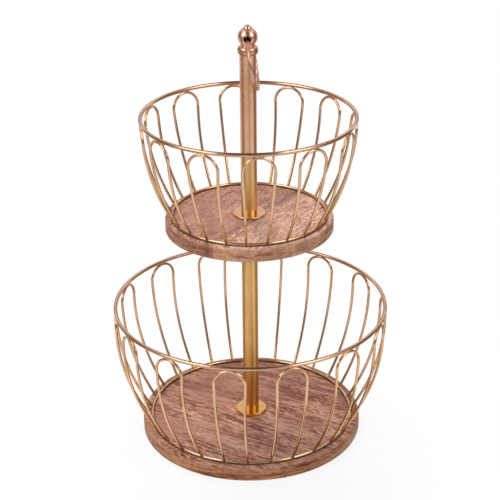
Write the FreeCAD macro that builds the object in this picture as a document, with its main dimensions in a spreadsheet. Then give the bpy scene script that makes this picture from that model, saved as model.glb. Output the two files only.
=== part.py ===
import FreeCAD, Part
import Sketcher
import math
import os
from FreeCAD import Placement, Rotation, Vector

# A two-tier wire basket: two wooden boards on a central tube, an open wire basket on each
# board, and a finial with a loose carrying ring on top. Millimetres and degrees, +Z up.
# The origin is the centre of the lower board's underside, and the front faces -Y.

SIZES = [
    # Main sizes: the rims set how wide each tier is, and the tubes how tall the stand is
    ("lower_rim_radius", 150.0),
    ("upper_rim_radius", 113.7),
    ("lower_pole_length", 227.4),
    ("upper_pole_length", 176.7),
    # Wooden boards, which stick out beyond the base rings
    ("board_thickness", 15.4),
    ("board_shoulder_round", 4.0),
    ("board_foot_round", 1.5),
    ("lower_board_margin", 10.4),
    ("upper_board_margin", 7.8),
    # Central tube and its flanges
    ("pole_radius", 8.75),
    ("pole_wall", 1.2),
    ("lower_flange_radius", 17.5),
    ("lower_flange_thickness", 3.6),
    ("upper_flange_radius", 18.0),
    ("upper_flange_thickness", 2.4),
    ("flange_edge_round", 0.9),
    # Threaded plugs, studs and the screw from below
    ("plug_length", 16.0),
    ("plug_recess", 0.5),
    ("plug_fit", 0.05),
    ("thread_radius", 3.0),
    ("thread_clearance", 0.1),
    ("thread_chamfer", 0.6),
    ("thread_engagement", 13.0),
    ("bolt_hole_clearance", 0.3),
    ("washer_radius", 9.0),
    ("washer_thickness", 1.5),
    ("counterbore_clearance", 2.0),
    ("screw_head_radius", 5.5),
    ("screw_head_height", 4.0),
    ("screw_head_recess", 1.0),
    ("hex_socket_radius", 2.6),
    ("hex_socket_depth", 2.2),
    # Wire baskets
    ("rim_wire_radius", 2.1),
    ("ring_wire_radius", 1.5),
    ("loop_wire_radius", 1.5),
    ("loop_arch_radius", 16.5),
    ("weld_depth", 0.3),
    ("foot_landing_angle", 40.0),
    ("lower_rim_spread", 36.2),
    ("lower_rim_height", 138.4),
    ("lower_loop_count", 14),
    ("lower_loop_phase", -8.5),
    ("lower_loop_lean", 0.7),
    ("upper_rim_spread", 30.1),
    ("upper_rim_height", 111.4),
    ("upper_loop_count", 12),
    ("upper_loop_phase", 6.0),
    ("upper_loop_lean", 4.8),
    # Pins that hold the base rings on the boards
    ("ring_pin_count", 4),
    ("ring_pin_radius", 1.2),
    ("ring_pin_length", 9.0),
    ("ring_pin_fit", 0.05),
    # Finial and carrying ring
    ("collar_radius", 10.75),
    ("collar_height", 9.0),
    ("collar_top_round", 3.6),
    ("collar_bottom_round", 3.0),
    ("neck_radius", 7.4),
    ("ball_radius", 10.3),
    ("ball_rise", 9.3),
    ("tip_radius", 4.2),
    ("tip_sink", 1.7),
    ("crease_round", 1.0),
    ("cross_hole_radius", 3.7),
    ("cross_hole_azimuth", -3.0),
    ("mouth_round", 0.8),
    ("finial_stud_depth", 9.0),
    ("carry_ring_radius", 28.0),
    ("carry_ring_wire_radius", 1.5),
    ("carry_ring_clearance", 0.3),
]

# Hairpin wires that stand off the even spacing: degrees about +Z, by the wire's number
LOOP_NUDGES = {
    "lower": {2: -0.7, 9: 0.7, 10: 1.0, 11: 1.5, 14: -0.5},
    "upper": {1: -0.9, 2: -1.1, 3: -1.0, 5: 1.0, 7: 2.0, 8: 2.2, 9: 2.5, 10: 1.2},
}

# Heights that follow from the stack of pieces, as expressions on the sheet
BOARD_TOP = "Sizes.board_thickness"
LOWER_POLE_BASE = "Sizes.board_thickness + Sizes.lower_flange_thickness"
UPPER_BOARD_BASE = LOWER_POLE_BASE + " + Sizes.lower_pole_length"
UPPER_BOARD_TOP = UPPER_BOARD_BASE + " + Sizes.board_thickness"
UPPER_POLE_BASE = UPPER_BOARD_TOP + " + Sizes.upper_flange_thickness"
FINIAL_BASE = UPPER_POLE_BASE + " + Sizes.upper_pole_length"
COUNTERBORE_DEPTH = "Sizes.washer_thickness + Sizes.screw_head_height + Sizes.screw_head_recess"

# Heights inside the finial, from its base
BALL_CENTRE = "Sizes.collar_height + Sizes.ball_rise"
TIP_CENTRE = BALL_CENTRE + " + Sizes.ball_radius - Sizes.tip_sink"

# Radii of the base rings, which are narrower than the rims, and of the boards under them
LOWER_RING_RADIUS = "(Sizes.lower_rim_radius - Sizes.lower_rim_spread)"
UPPER_RING_RADIUS = "(Sizes.upper_rim_radius - Sizes.upper_rim_spread)"
LOWER_BOARD_RADIUS = LOWER_RING_RADIUS + " + Sizes.lower_board_margin"
UPPER_BOARD_RADIUS = UPPER_RING_RADIUS + " + Sizes.upper_board_margin"

# Radii and lengths that follow from a fit
BOLT_HOLE = "Sizes.thread_radius + Sizes.bolt_hole_clearance"
THREAD_BORE = "Sizes.thread_radius + Sizes.thread_clearance"
POLE_BORE = "Sizes.pole_radius - Sizes.pole_wall"
PLUG_RADIUS = POLE_BORE + " - Sizes.plug_fit"
STUD_REACH = "(Sizes.plug_recess + Sizes.thread_engagement)"

# Radii that a sketch starts with before the sheet sets them, and the match for finding edges
OUTER_START = 2.0
INNER_START = 1.0
EDGE_TOLERANCE = 0.01

doc = FreeCAD.newDocument("tiered_wire_basket")
sheet = doc.addObject("Spreadsheet::Sheet", "Sizes")
for row, (alias, value) in enumerate(SIZES, start=1):
    sheet.set(f"A{row}", alias)
    sheet.set(f"B{row}", str(value))
    sheet.setAlias(f"B{row}", alias)
doc.recompute()

nodes = []


def size(alias):
    """Number that the sheet holds under an alias."""
    return float(sheet.get(alias))


def count(alias):
    """Whole number that the sheet holds under an alias."""
    return int(round(size(alias)))


def bind(thing, bindings):
    """Ties properties of an object to expressions on the sheet."""
    for name, expression in bindings.items():
        thing.setExpression(name, expression)


def add_part(kind, label, bindings):
    """New object of the document, with its sizes tied to the sheet."""
    part = doc.addObject(kind, label)
    part.Label = label
    bind(part, bindings)
    return part


def keep(part):
    """Marks an object as a finished piece of the basket."""
    nodes.append(part)
    return part


def new_body(label, base):
    """Empty body that stands at the height given by an expression."""
    return add_part("PartDesign::Body", label, {"Placement.Base.z": base})


def origin_feature(body, role):
    """Origin plane or axis of a body, found by its role."""
    return next(item for item in body.Origin.OriginFeatures if item.Role == role)


def new_sketch(body, name, lift="0"):
    """Sketch on the body's horizontal plane, lifted by an expression."""
    sketch = body.newObject("Sketcher::SketchObject", name)
    sketch.AttachmentSupport = (origin_feature(body, "XY_Plane"), [""])
    sketch.MapMode = "FlatFace"
    sketch.setExpression("AttachmentOffset.Base.z", lift)
    return sketch


def add_circle(sketch, name, radius, start, centre_x=None):
    """Circle with a named radius, on the axis or at a named distance along X."""
    shift = 0.0 if centre_x is None else start
    circle = sketch.addGeometry(Part.Circle(Vector(shift, 0, 0), Vector(0, 0, 1), start), False)
    if centre_x is None:
        sketch.addConstraint(Sketcher.Constraint("Coincident", circle, 3, -1, 1))
    else:
        sketch.addConstraint(Sketcher.Constraint("PointOnObject", circle, 3, -1))
        offset = sketch.addConstraint(Sketcher.Constraint("DistanceX", -1, 1, circle, 3, start))
        sketch.renameConstraint(offset, name + "_offset")
        sketch.setExpression(f"Constraints.{name}_offset", centre_x)
    rule = sketch.addConstraint(Sketcher.Constraint("Radius", circle, start))
    sketch.renameConstraint(rule, name)
    sketch.setExpression(f"Constraints.{name}", radius)


def pad_round(body, name, outer, length, inner=None, lift="0"):
    """Pads a disc, or a ring when an inner radius is given."""
    sketch = new_sketch(body, name + "_outline", lift)
    add_circle(sketch, "outer_radius", outer, OUTER_START)
    if inner is not None:
        add_circle(sketch, "inner_radius", inner, INNER_START)
    pad = body.newObject("PartDesign::Pad", name)
    pad.Profile = sketch
    pad.setExpression("Length", length)
    doc.recompute()
    return pad


def pocket_round(body, name, radius, depth, lift="0", upward=False, centre_x=None):
    """Cuts a round pocket and makes sure that it took material away."""
    before = body.Shape.Volume
    sketch = new_sketch(body, name + "_outline", lift)
    add_circle(sketch, "radius", radius, INNER_START, centre_x)
    pocket = body.newObject("PartDesign::Pocket", name)
    pocket.Profile = sketch
    pocket.Reversed = upward
    pocket.setExpression("Length", depth)
    doc.recompute()
    if body.Shape.Volume >= before:
        raise RuntimeError(name + " cut nothing")
    return pocket


def circle_edges(feature, radius, height=None):
    """Names of a feature's circular edges of one radius, at one height if it is given."""
    names = []
    for number, edge in enumerate(feature.Shape.Edges, start=1):
        if edge.Degenerated or not isinstance(edge.Curve, Part.Circle):
            continue
        if abs(edge.Curve.Radius - radius) > EDGE_TOLERANCE:
            continue
        if height is None or abs(edge.Curve.Center.z - height) < EDGE_TOLERANCE:
            names.append(f"Edge{number}")
    return names


def ease(body, kind, name, feature, edges, amount):
    """Adds a fillet or a chamfer to named edges of a feature."""
    dressed = body.newObject("PartDesign::" + kind, name)
    dressed.Base = (feature, edges)
    dressed.setExpression("Radius" if kind == "Fillet" else "Size", amount)
    doc.recompute()
    return dressed


def make_board(label, base, radius, ring_radius, counterbored):
    """Wooden disc with a bolt hole, blind pin holes, a round shoulder and an eased foot."""
    body = new_body(label, base)
    disc = pad_round(body, label + "_disc", radius, BOARD_TOP, inner=BOLT_HOLE)
    rim_radius = disc.Shape.BoundBox.XMax
    foot = circle_edges(disc, rim_radius, 0.0)
    eased = ease(body, "Fillet", label + "_foot", disc, foot, "Sizes.board_foot_round")
    shoulder = circle_edges(eased, rim_radius, size("board_thickness"))
    ease(body, "Fillet", label + "_shoulder", eased, shoulder, "Sizes.board_shoulder_round")
    if counterbored:
        pocket_round(
            body,
            label + "_counterbore",
            "Sizes.washer_radius + Sizes.counterbore_clearance",
            COUNTERBORE_DEPTH,
            upward=True,
        )
    hole = pocket_round(
        body,
        label + "_pin_hole",
        "Sizes.ring_pin_radius + Sizes.ring_pin_fit",
        "Sizes.ring_pin_length + Sizes.ring_pin_fit",
        lift=BOARD_TOP,
        centre_x=ring_radius,
    )
    pattern = body.newObject("PartDesign::PolarPattern", label + "_pin_holes")
    pattern.Originals = [hole]
    pattern.Axis = (origin_feature(body, "Z_Axis"), [""])
    pattern.Angle = 360
    pattern.setExpression("Occurrences", "Sizes.ring_pin_count")
    body.Tip = pattern
    doc.recompute()
    keep(body)


def make_ring_pins(label, ring_radius, board_top):
    """Pins under a base ring, flush with the board: one group of equal solids."""
    pins = []
    for index in range(count("ring_pin_count")):
        turn = f"{index} * 360 deg / Sizes.ring_pin_count"
        pin = add_part(
            "Part::Cylinder",
            f"{label}_{index + 1}",
            {
                "Radius": "Sizes.ring_pin_radius",
                "Height": "Sizes.ring_pin_length",
                "Placement.Base.x": f"{ring_radius} * cos({turn})",
                "Placement.Base.y": f"{ring_radius} * sin({turn})",
                "Placement.Base.z": f"{board_top} - Sizes.ring_pin_length",
            },
        )
        pins.append(pin)
    group = add_part("Part::Compound", label, {})
    group.Links = pins
    keep(group)


def make_hoop(label, radius, wire_radius, height):
    """Closed wire hoop, level, at the height of its centre line."""
    hoop = add_part(
        "Part::Torus",
        label,
        {"Radius1": radius, "Radius2": wire_radius, "Placement.Base.z": height},
    )
    return keep(hoop)


def tangent_arc(start, direction, end):
    """Arc that leaves start along direction and ends at end."""
    chord = end - start
    along = Vector(chord).normalize()
    turn = direction.getAngle(chord)
    bulge = (direction - along * direction.dot(along)).normalize()
    middle = start + chord * 0.5 + bulge * (0.5 * chord.Length * math.tan(0.5 * turn))
    return Part.Arc(start, middle, end)


def loop_path(tier, rim, ring):
    """Centre line of one hairpin wire whose middle lies on the -Y side.

    The top is an arch in a slightly leaning plane, whose crown touches the rim from below. Each
    leg is one arc that leaves the arch smoothly and lands on the base ring.
    """
    arch = size("loop_arch_radius")
    lean = math.radians(size(tier + "_loop_lean"))
    landing = math.radians(size("foot_landing_angle"))
    half_step = math.radians(90.0 / count(tier + "_loop_count"))
    sink = size("weld_depth")
    inner_reach = size("ring_wire_radius") - sink
    foot_radius = ring.Radius1.Value + inner_reach * math.sin(landing)
    foot_height = ring.Placement.Base.z + inner_reach * math.cos(landing)
    crown_drop = size("rim_wire_radius") + size("loop_wire_radius") - sink

    outward = Vector(0, -1, 0)
    aside = Vector(1, 0, 0)
    upward = Vector(0, 0, 1)
    rise = outward * math.sin(lean) + upward * math.cos(lean)
    crown_height = rim.Placement.Base.z - crown_drop
    crown = outward * rim.Radius1.Value + upward * crown_height
    centre = crown - rise * arch

    foot_aside = foot_radius * math.sin(half_step)
    foot_middle = outward * (foot_radius * math.cos(half_step)) + upward * foot_height
    reach = math.hypot((centre - foot_middle).Length, foot_aside)
    taper = math.asin(arch / reach) - math.asin(foot_aside / reach)

    legs = []
    ends = []
    for side in (-1, 1):
        shoulder = centre - rise * (arch * math.sin(taper)) + aside * (side * arch * math.cos(taper))
        downward = rise * -math.cos(taper) - aside * (side * math.sin(taper))
        foot = foot_middle + aside * (side * foot_aside)
        legs.append(tangent_arc(shoulder, downward, foot))
        ends.append(shoulder)
    bow = Part.Arc(ends[0], crown, ends[1])
    edges = [curve.toShape() for curve in (legs[0], bow, legs[1])]
    return Part.Wire(Part.__sortEdges__(edges))


def make_loops(tier, rim, ring):
    """Hairpin wires of one basket, nearly evenly spaced, seated on the rim and the base ring."""
    path = add_part("Part::Feature", tier + "_loop_path", {})
    path.Shape = loop_path(tier, rim, ring)
    start = path.Shape.OrderedEdges[0]
    heading = start.tangentAt(start.FirstParameter)
    section = add_part("Part::Circle", tier + "_loop_section", {"Radius": "Sizes.loop_wire_radius"})
    section.Placement = Placement(
        start.valueAt(start.FirstParameter), Rotation(Vector(0, 0, 1), heading)
    )
    wire = add_part("Part::Sweep", tier + "_loop_wire", {})
    wire.Sections = [section]
    wire.Spine = (path, [f"Edge{number + 1}" for number in range(len(path.Shape.Edges))])
    wire.Solid = True
    seats = add_part("Part::Compound", tier + "_loop_seats", {})
    seats.Links = [rim, ring]
    seated = add_part("Part::Cut", tier + "_loop_seated", {})
    seated.Base = wire
    seated.Tool = seats
    doc.recompute()
    for number in range(1, count(tier + "_loop_count") + 1):
        even = f"Sizes.{tier}_loop_phase + {number - 1} * 360 / Sizes.{tier}_loop_count"
        nudge = LOOP_NUDGES[tier].get(number, 0.0)
        turn = f"({even} + {nudge}) * 1 deg"
        loop = add_part("Part::Compound", f"{tier}_loop_{number:02d}", {})
        loop.Links = [seated]
        loop.Placement = Placement(Vector(0, 0, 0), Rotation(Vector(0, 0, 1), 1.0))
        loop.setExpression("Placement.Rotation.Angle", turn)
        keep(loop)


def make_basket(tier, board_top, rim_radius, ring_radius):
    """Rim, base ring, hairpin loops and hidden pins of one tier."""
    rim = make_hoop(
        tier + "_rim",
        rim_radius,
        "Sizes.rim_wire_radius",
        f"{board_top} + Sizes.{tier}_rim_height",
    )
    ring = make_hoop(
        tier + "_base_ring",
        ring_radius,
        "Sizes.ring_wire_radius",
        f"{board_top} + Sizes.ring_wire_radius",
    )
    doc.recompute()
    make_loops(tier, rim, ring)
    make_ring_pins(tier + "_ring_pins", ring_radius, board_top)


def make_flange(tier, base):
    """Thin round flange under the foot of a tube."""
    label = tier + "_flange"
    body = new_body(label, base)
    radius = f"Sizes.{tier}_flange_radius"
    thickness = f"Sizes.{tier}_flange_thickness"
    disc = pad_round(body, label + "_disc", radius, thickness, inner=BOLT_HOLE)
    edges = circle_edges(disc, size(tier + "_flange_radius"))
    ease(body, "Fillet", label + "_edge", disc, edges, "Sizes.flange_edge_round")
    keep(body)


def make_pole(tier, base):
    """Length of tube with a threaded plug pressed into each end."""
    length = f"Sizes.{tier}_pole_length"
    tube = new_body(tier + "_pole", base)
    pad_round(tube, tier + "_pole_tube", "Sizes.pole_radius", length, inner=POLE_BORE)
    keep(tube)
    foot_base = f"{base} + Sizes.plug_recess"
    head_base = f"{base} + {length} - Sizes.plug_recess - Sizes.plug_length"
    for place, plug_base in (("foot", foot_base), ("head", head_base)):
        label = f"{tier}_pole_{place}_plug"
        body = new_body(label, plug_base)
        plug = pad_round(body, label + "_turned", PLUG_RADIUS, "Sizes.plug_length", inner=THREAD_BORE)
        edges = circle_edges(plug, size("thread_radius") + size("thread_clearance"))
        ease(body, "Chamfer", label + "_lead_in", plug, edges, "Sizes.thread_chamfer")
        keep(body)


def make_stud(label, base, length):
    """Length of threaded rod with chamfered ends."""
    body = new_body(label, base)
    rod = pad_round(body, label + "_rod", "Sizes.thread_radius", length)
    ends = circle_edges(rod, size("thread_radius"))
    ease(body, "Chamfer", label + "_ends", rod, ends, "Sizes.thread_chamfer")
    keep(body)


def make_base_screw():
    """Socket screw that clamps the lower board, its flange and the lower tube, with a washer."""
    seat = "Sizes.screw_head_height + Sizes.screw_head_recess"
    washer = new_body("base_washer", seat)
    pad_round(washer, "base_washer_disc", "Sizes.washer_radius", "Sizes.washer_thickness", inner=BOLT_HOLE)
    keep(washer)

    screw = new_body("base_screw", "Sizes.screw_head_recess")
    head = pad_round(screw, "base_screw_head", "Sizes.screw_head_radius", "Sizes.screw_head_height")
    rim = circle_edges(head, size("screw_head_radius"), 0.0)
    ease(screw, "Chamfer", "base_screw_head_edge", head, rim, "Sizes.thread_chamfer")
    reach = f"{LOWER_POLE_BASE} - ({seat}) + {STUD_REACH}"
    under_head = "Sizes.screw_head_height"
    shank = pad_round(screw, "base_screw_shank", "Sizes.thread_radius", reach, lift=under_head)
    top = screw.Shape.BoundBox.ZMax - screw.Placement.Base.z
    tip = circle_edges(shank, size("thread_radius"), top)
    ease(screw, "Chamfer", "base_screw_tip", shank, tip, "Sizes.thread_chamfer")
    pocket_hex_socket(screw)
    keep(screw)


def pocket_hex_socket(screw):
    """Six-sided socket in the underside of the screw's head."""
    before = screw.Shape.Volume
    sketch = new_sketch(screw, "base_screw_socket_outline")
    corners = [Vector(math.cos(k * math.pi / 3), math.sin(k * math.pi / 3), 0) for k in range(6)]
    sides = []
    for index, corner in enumerate(corners):
        line = Part.LineSegment(corner, corners[(index + 1) % 6])
        sides.append(sketch.addGeometry(line, False))
    guide = sketch.addGeometry(Part.Circle(Vector(0, 0, 0), Vector(0, 0, 1), 1.0), True)
    for index, side in enumerate(sides):
        sketch.addConstraint(Sketcher.Constraint("Coincident", side, 2, sides[(index + 1) % 6], 1))
        sketch.addConstraint(Sketcher.Constraint("PointOnObject", side, 1, guide))
        if index:
            sketch.addConstraint(Sketcher.Constraint("Equal", sides[0], side))
    sketch.addConstraint(Sketcher.Constraint("Coincident", guide, 3, -1, 1))
    sketch.addConstraint(Sketcher.Constraint("PointOnObject", sides[0], 1, -1))
    rule = sketch.addConstraint(Sketcher.Constraint("Radius", guide, 1.0))
    sketch.renameConstraint(rule, "corner_radius")
    sketch.setExpression("Constraints.corner_radius", "Sizes.hex_socket_radius")
    socket = screw.newObject("PartDesign::Pocket", "base_screw_socket")
    socket.Profile = sketch
    socket.Reversed = True
    socket.setExpression("Length", "Sizes.hex_socket_depth")
    doc.recompute()
    if screw.Shape.Volume >= before:
        raise RuntimeError("the hex socket cut nothing")


def add_primitive(body, kind, name, bindings, rotation=None):
    """PartDesign primitive in a body, with its sizes and height tied to the sheet."""
    feature = body.newObject("PartDesign::" + kind, name)
    if rotation is not None:
        feature.Placement = Placement(Vector(0, 0, 0), rotation)
    bind(feature, bindings)
    doc.recompute()
    return feature


def make_finial():
    """Turned finial: collar, ball and tip, with a cross hole whose mouths are rounded."""
    body = new_body("finial", FINIAL_BASE)
    azimuth = Rotation(Vector(0, 0, 1), 1.0)
    body.Placement = Placement(body.Placement.Base, azimuth)
    body.setExpression("Placement.Rotation.Angle", "Sizes.cross_hole_azimuth * 1 deg")

    collar = pad_round(body, "finial_collar", "Sizes.collar_radius", "Sizes.collar_height")
    low_edge = circle_edges(collar, size("collar_radius"), 0.0)
    eased = ease(body, "Fillet", "finial_collar_foot", collar, low_edge, "Sizes.collar_bottom_round")
    high_edge = circle_edges(eased, size("collar_radius"), size("collar_height"))
    ease(body, "Fillet", "finial_collar_shoulder", eased, high_edge, "Sizes.collar_top_round")
    pad_round(
        body,
        "finial_neck",
        "Sizes.neck_radius",
        "Sizes.ball_rise + Sizes.collar_top_round",
        lift="Sizes.collar_height - Sizes.collar_top_round",
    )
    add_primitive(
        body,
        "AdditiveSphere",
        "finial_ball",
        {"Radius": "Sizes.ball_radius", "Placement.Base.z": BALL_CENTRE},
    )
    tip = add_primitive(
        body,
        "AdditiveSphere",
        "finial_tip",
        {"Radius": "Sizes.tip_radius", "Placement.Base.z": TIP_CENTRE},
    )
    fall = size("ball_radius") - size("tip_sink")
    level = (fall**2 + size("ball_radius") ** 2 - size("tip_radius") ** 2) / (2 * fall)
    crease_radius = math.sqrt(size("ball_radius") ** 2 - level**2)
    crease = circle_edges(tip, crease_radius)
    ease(body, "Fillet", "finial_tip_crease", tip, crease, "Sizes.crease_round")

    before = body.Shape.Volume
    along_front = Rotation(Vector(1, 0, 0), 90)
    hole = add_primitive(
        body,
        "SubtractiveCylinder",
        "finial_cross_hole",
        {
            "Radius": "Sizes.cross_hole_radius",
            "Height": "2 * Sizes.ball_radius",
            "Placement.Base.y": "Sizes.ball_radius",
            "Placement.Base.z": BALL_CENTRE,
        },
        along_front,
    )
    mouths = circle_edges(hole, size("cross_hole_radius"))
    ease(body, "Fillet", "finial_mouths", hole, mouths, "Sizes.mouth_round")
    pocket_round(body, "finial_stud_hole", THREAD_BORE, "Sizes.finial_stud_depth", upward=True)
    if body.Shape.Volume >= before:
        raise RuntimeError("the cross hole cut nothing")
    keep(body)


def make_carry_ring():
    """Loose ring that hangs in the finial's cross hole and leans on the tube's right side."""
    radius = size("carry_ring_radius")
    stop = size("pole_radius") + size("carry_ring_wire_radius") + size("carry_ring_clearance")
    tilt = math.asin(stop / (2 * radius))
    azimuth = Rotation(Vector(0, 0, 1), size("cross_hole_azimuth"))
    hang = azimuth.multVec(Vector(math.sin(tilt), 0, -math.cos(tilt)))
    face = azimuth.multVec(Vector(math.cos(tilt), 0, math.sin(tilt)))
    finial = doc.getObject("finial")
    ball_centre = size("collar_height") + size("ball_rise")
    pivot = Vector(0, 0, finial.Placement.Base.z + ball_centre)
    ring = add_part(
        "Part::Torus",
        "carry_ring",
        {"Radius1": "Sizes.carry_ring_radius", "Radius2": "Sizes.carry_ring_wire_radius"},
    )
    ring.Placement = Placement(pivot + hang * radius, Rotation(Vector(0, 0, 1), face))
    keep(ring)
    print(f"ring pivot {pivot.z:.3f} tilt {math.degrees(tilt):.3f} degrees")


def check_document():
    """Stops when an object failed or a piece has no valid solid."""
    doc.recompute()
    for thing in doc.Objects:
        if "Invalid" in thing.State or "Error" in thing.State:
            raise RuntimeError(f"{thing.Label} failed: {thing.State}")
    for part in nodes:
        if part.Shape.isNull() or not part.Shape.isValid() or not part.Shape.Solids:
            raise RuntimeError(f"{part.Label} has no valid solid")


def write_parts():
    """Writes each piece to its own file, named after the piece."""
    os.makedirs("parts", exist_ok=True)
    for part in nodes:
        solids = part.Shape.Solids
        shape = solids[0] if len(solids) == 1 else part.Shape
        shape.exportStep(f"parts/{part.Label}.step")
        print(f"{part.Label}: {len(solids)} solid, {part.Shape.Volume / 1000:.2f} cm3")


make_board("lower_board", "0", LOWER_BOARD_RADIUS, LOWER_RING_RADIUS, counterbored=True)
make_board("upper_board", UPPER_BOARD_BASE, UPPER_BOARD_RADIUS, UPPER_RING_RADIUS, counterbored=False)
make_flange("lower", BOARD_TOP)
make_flange("upper", UPPER_BOARD_TOP)
make_pole("lower", LOWER_POLE_BASE)
make_pole("upper", UPPER_POLE_BASE)
make_base_screw()
make_stud(
    "tier_stud",
    f"{UPPER_BOARD_BASE} - {STUD_REACH}",
    f"2 * {STUD_REACH} + Sizes.board_thickness + Sizes.upper_flange_thickness",
)
make_stud(
    "finial_stud",
    f"{FINIAL_BASE} - {STUD_REACH}",
    f"{STUD_REACH} + Sizes.finial_stud_depth - Sizes.thread_clearance",
)
make_basket("lower", BOARD_TOP, "Sizes.lower_rim_radius", LOWER_RING_RADIUS)
make_basket("upper", UPPER_BOARD_TOP, "Sizes.upper_rim_radius", UPPER_RING_RADIUS)
make_finial()
make_carry_ring()
check_document()
write_parts()
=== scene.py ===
"""Looks of the tiered wire basket: finishes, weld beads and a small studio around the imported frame."""

import logging
import math
from collections.abc import Iterable, Sequence
from dataclasses import dataclass
from enum import Enum
from typing import Any

import bmesh
import bpy
from bpy.types import Material, Node, NodeSocket, NodeTree, Object
from mathutils import Matrix, Vector, noise


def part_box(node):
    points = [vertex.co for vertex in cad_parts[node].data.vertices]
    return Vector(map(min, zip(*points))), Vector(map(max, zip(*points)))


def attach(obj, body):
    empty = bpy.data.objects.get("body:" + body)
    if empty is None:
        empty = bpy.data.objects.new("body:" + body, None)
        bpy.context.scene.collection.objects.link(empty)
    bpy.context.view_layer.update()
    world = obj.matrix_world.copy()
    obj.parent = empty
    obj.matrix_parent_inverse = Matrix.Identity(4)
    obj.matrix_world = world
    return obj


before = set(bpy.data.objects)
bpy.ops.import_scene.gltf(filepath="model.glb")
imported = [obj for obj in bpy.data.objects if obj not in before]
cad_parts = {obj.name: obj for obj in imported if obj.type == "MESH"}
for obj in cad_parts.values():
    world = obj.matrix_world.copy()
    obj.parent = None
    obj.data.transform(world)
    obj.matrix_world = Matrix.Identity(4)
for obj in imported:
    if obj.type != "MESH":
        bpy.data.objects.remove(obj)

LOG = logging.getLogger("tiered_wire_basket")
MM = 0.001
PHOTO_PIXELS = 500
STAND_BODY = "stand"

# Angles in degrees: the camera's side is measured from +X.
RIGHT_ANGLE = 90.0
FULL_TURN = 360.0
CAMERA_SIDE = -90.0

# A quarter of a turn lays the spread of a metal's reflections along its axis, not round it.
AXIAL_SPREAD_TURN = 0.25

# The middle of a noise's range, and the values of it between which a soft patch sets in.
MIDDLE = 0.5
SOFT_ONSET = (0.35, 0.65)

# Roughness at the bottom of the polishing marks and between them, for each kind of metal piece.
WIRE_ROUGHNESS = (0.07, 0.14)
LOOSE_RING_ROUGHNESS = (0.16, 0.30)
FLANGE_ROUGHNESS = (0.18, 0.32)
SATIN_ROUGHNESS = (0.22, 0.34)

# Height, in metres, of cards that lie just above the floor.
ON_FLOOR = (0.001, 0.001)

# Rows of three numbers, such as the length, width and strength of each layer of grain.
Layers = tuple[tuple[float, float, float], ...]


class Tier(Enum):
    """The two floors of the stand, by the first word of their nodes' names."""

    LOWER = "lower"
    UPPER = "upper"


class Brushing(Enum):
    """Which way the fine polishing marks of a metal piece run."""

    LENGTHWISE = "along the tube"
    TURNED = "round the lathe axis"
    DRAWN = "no clear direction, as on drawn wire"


def linear(hex_colour: str) -> tuple[float, float, float, float]:
    """Turns an sRGB hex colour into linear RGBA.

    Args:
        hex_colour: Colour such as "#B58A70".

    Returns:
        Linear red, green, blue and an alpha of one.
    """
    channels = [int(hex_colour[place : place + 2], 16) / 255 for place in (1, 3, 5)]
    red, green, blue = (c / 12.92 if c <= 0.04045 else ((c + 0.055) / 1.055) ** 2.4 for c in channels)
    return red, green, blue, 1.0


def add_node(
    tree: NodeTree,
    kind: str,
    inputs: dict[str | int, Any] | None = None,
    stops: Sequence[tuple[float, str]] = (),
    **settings: Any,
) -> Node:
    """Adds a shader node with its settings, constants and links.

    Args:
        tree: Node tree that gets the node.
        kind: Name of the node type.
        inputs: Values by socket name or place. A node or socket is linked, the rest is set.
        stops: Places and hex colours of a colour ramp.
        **settings: Properties of the node itself.

    Returns:
        The new node.
    """
    made = tree.nodes.new(kind)
    for name, value in settings.items():
        setattr(made, name, value)
    usable = [socket for socket in made.inputs if socket.enabled]
    for key, value in (inputs or {}).items():
        target = usable[key] if isinstance(key, int) else next(s for s in usable if s.name == key)
        if isinstance(value, Node):
            value = next(output for output in value.outputs if output.enabled)
        if isinstance(value, NodeSocket):
            tree.links.new(value, target)
        else:
            target.default_value = value
    for index, (place, colour) in enumerate(stops):
        elements = made.color_ramp.elements
        element = elements[index] if index < len(elements) else elements.new(place)
        element.position = place
        element.color = linear(colour)
    return made


def new_material(name: str) -> tuple[Material, NodeTree]:
    """Makes an empty node material.

    Args:
        name: Name of the material.

    Returns:
        The material and its cleared node tree.
    """
    material = bpy.data.materials.new(name)
    material.use_nodes = True
    material.node_tree.nodes.clear()
    return material, material.node_tree


def per_metre(size: float) -> float:
    """How many marks of a size in millimetres lie on a metre."""
    return 1 / (size * MM)


def drawn_noise(
    tree: NodeTree,
    place: Node | NodeSocket,
    size: tuple[float, float, float],
    detail: float,
    roughness: float = 0.5,
) -> Node:
    """Noise that is drawn out into streaks.

    Args:
        tree: Node tree of the material.
        place: Place on the piece.
        size: Size of a streak along each axis, in millimetres.
        detail: How many finer layers lie on it.
        roughness: How strong the finer layers are.

    Returns:
        The noise node.
    """
    scale = tuple(per_metre(side) for side in size)
    drawn = add_node(tree, "ShaderNodeMapping", {"Vector": place, "Scale": scale})
    return add_node(
        tree,
        "ShaderNodeTexNoise",
        {"Vector": drawn, "Scale": 1.0, "Detail": detail, "Roughness": roughness},
    )


def axis_distance(tree: NodeTree, place: Node | NodeSocket, plane: str) -> NodeSocket:
    """Distance, in metres, from the axis that stands on a plane.

    Args:
        tree: Node tree of the material.
        place: Place on the piece.
        plane: The two axes of the plane, such as "XY".

    Returns:
        The socket that gives the distance.
    """
    split = add_node(tree, "ShaderNodeSeparateXYZ", {"Vector": place}).outputs
    flat = add_node(tree, "ShaderNodeCombineXYZ", {axis: split[axis] for axis in plane})
    return add_node(tree, "ShaderNodeVectorMath", {0: flat}, operation="LENGTH").outputs["Value"]


def dress_nodes(names: Iterable[str], material: Material) -> None:
    """Gives CAD nodes a finish.

    Args:
        names: Node names.
        material: Finish for all of their slots.
    """
    for name in names:
        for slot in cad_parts[name].material_slots:
            slot.material = material
        LOG.info("dressed %s with %s", name, material.name)


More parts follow.
